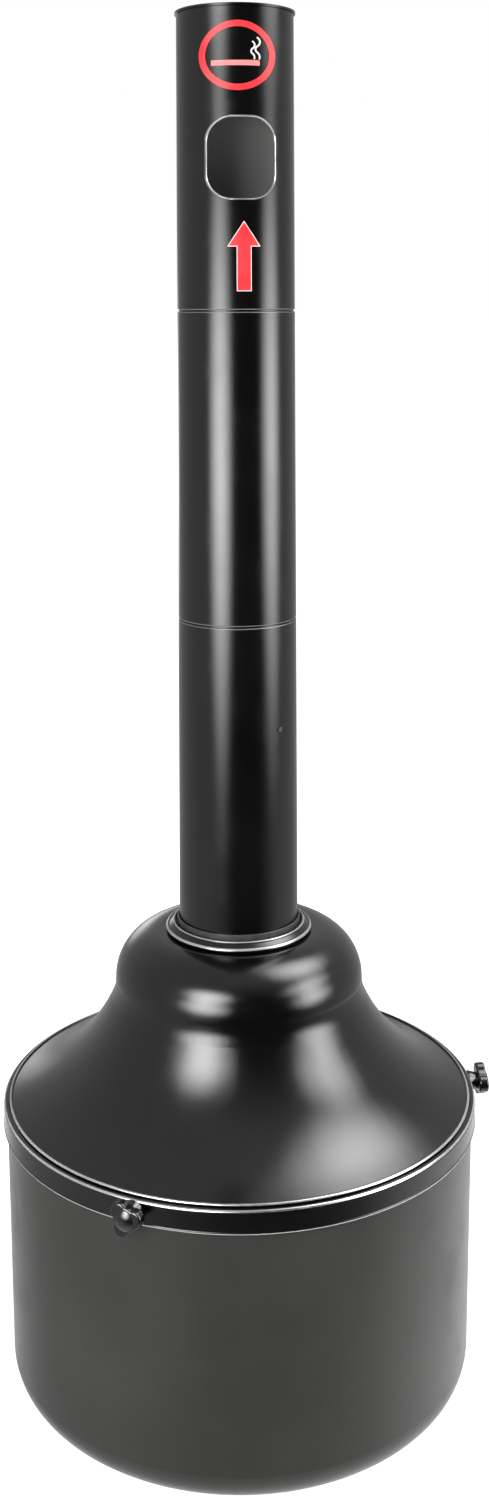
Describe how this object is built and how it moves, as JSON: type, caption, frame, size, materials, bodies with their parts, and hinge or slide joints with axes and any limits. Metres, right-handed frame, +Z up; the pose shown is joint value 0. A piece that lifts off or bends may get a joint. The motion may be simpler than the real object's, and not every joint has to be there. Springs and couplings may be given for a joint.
{
  "type": "ashtray bin",
  "caption": "Free-standing outdoor ashtray bin: round steel base, bell cover and tall pole with a mouth for cigarette ends that fall into a lift-out pail.",
  "frame": {"origin": "centre of the base's underside, on the ground", "axes": "+Z up along the pole, -Y towards the side with the mouth, +X to the right seen from the front"},
  "size_m": [0.3682, 0.3584, 1.0092],
  "materials": {
    "black_powder_coat": "semi-gloss",
    "base_paint": "satin",
    "galvanised_steel": "galvanised",
    "zinc_hardware": "zinc plated",
    "dark_rivet": "satin",
    "black_plastic": "gloss",
    "rubber_bushing": "satin",
    "red_film": "satin film",
    "salmon_film": "satin film",
    "white_film": "satin film"
  },
  "bodies": {
    "base": {"base_bucket": "base_paint"},
    "pail": {"inner_pail": "galvanised_steel", "pail_ears": "galvanised_steel", "pail_rivets": "zinc_hardware"},
    "bail": {"bail_wire": "zinc_hardware", "bail_grip": "black_plastic"},
    "cover": {"bell_cover": "black_powder_coat", "skirt_band": "black_powder_coat", "collar_ring": "black_powder_coat", "collar_bushing": "rubber_bushing", "collar_studs": "zinc_hardware", "collar_nuts": "zinc_hardware", "neck_socket": "galvanised_steel", "neck_screws": "zinc_hardware", "lower_tube": "black_powder_coat", "middle_tube": "black_powder_coat", "upper_tube": "black_powder_coat", "lower_sleeve": "black_powder_coat", "upper_sleeve": "black_powder_coat", "lower_sleeve_rivets": "dark_rivet", "upper_sleeve_rivets": "dark_rivet", "top_cap": "black_powder_coat", "sign_ring": "red_film", "cigarette_symbol": "salmon_film", "smoke_symbol": "white_film", "arrow_symbol": "red_film", "arrow_border": "white_film"},
    "knob_1_set": {"knob_1": "black_plastic", "clamp_stud_1": "zinc_hardware"},
    "nut_1_set": {"clamp_nut_1": "zinc_hardware"},
    "knob_2_set": {"knob_2": "black_plastic", "clamp_stud_2": "zinc_hardware"},
    "nut_2_set": {"clamp_nut_2": "zinc_hardware"},
    "knob_3_set": {"knob_3": "black_plastic", "clamp_stud_3": "zinc_hardware"},
    "nut_3_set": {"clamp_nut_3": "zinc_hardware"}
  },
  "joints": [
    {"name": "cover_lift", "type": "slide", "parent": "base", "child": "cover", "axis": [0, 0, 1], "range_m": [0, 0.42]},
    {"name": "pail_lift", "type": "slide", "parent": "base", "child": "pail", "axis": [0, 0, 1], "range_m": [0, 0.21]},
    {"name": "bail_swing", "type": "hinge", "parent": "pail", "child": "bail", "pos_m": [0, 0, 0.14], "axis": [-1, 0, 0], "range_deg": [0, 210]},
    {"name": "knob_1_turn", "type": "hinge", "parent": "cover", "child": "knob_1_set", "pos_m": [-0.088, -0.15242, 0.193], "axis": [-0.5, -0.866, 0], "range_deg": [0, 540]},
    {"name": "nut_1_travel", "type": "slide", "parent": "cover", "child": "nut_1_set", "axis": [0.5, 0.866, 0], "range_m": [0, 0.0015]},
    {"name": "knob_2_turn", "type": "hinge", "parent": "cover", "child": "knob_2_set", "pos_m": [0.176, 0, 0.193], "axis": [1, 0, 0], "range_deg": [0, 540]},
    {"name": "nut_2_travel", "type": "slide", "parent": "cover", "child": "nut_2_set", "axis": [-1, 0, 0], "range_m": [0, 0.0015]},
    {"name": "knob_3_turn", "type": "hinge", "parent": "cover", "child": "knob_3_set", "pos_m": [-0.0602, 0.16539, 0.193], "axis": [-0.342, 0.9397, 0], "range_deg": [0, 540]},
    {"name": "nut_3_travel", "type": "slide", "parent": "cover", "child": "nut_3_set", "axis": [0.342, -0.9397, 0], "range_m": [0, 0.0015]}
  ],
  "couplings": [
    {"joint": "pail_lift", "follows": "cover_lift", "ratio": 0.5},
    {"joint": "nut_1_travel", "follows": "knob_1_turn", "m_per_rad": 0.00015915},
    {"joint": "nut_2_travel", "follows": "knob_2_turn", "m_per_rad": 0.00015915},
    {"joint": "nut_3_travel", "follows": "knob_3_turn", "m_per_rad": 0.00015915}
  ]
}
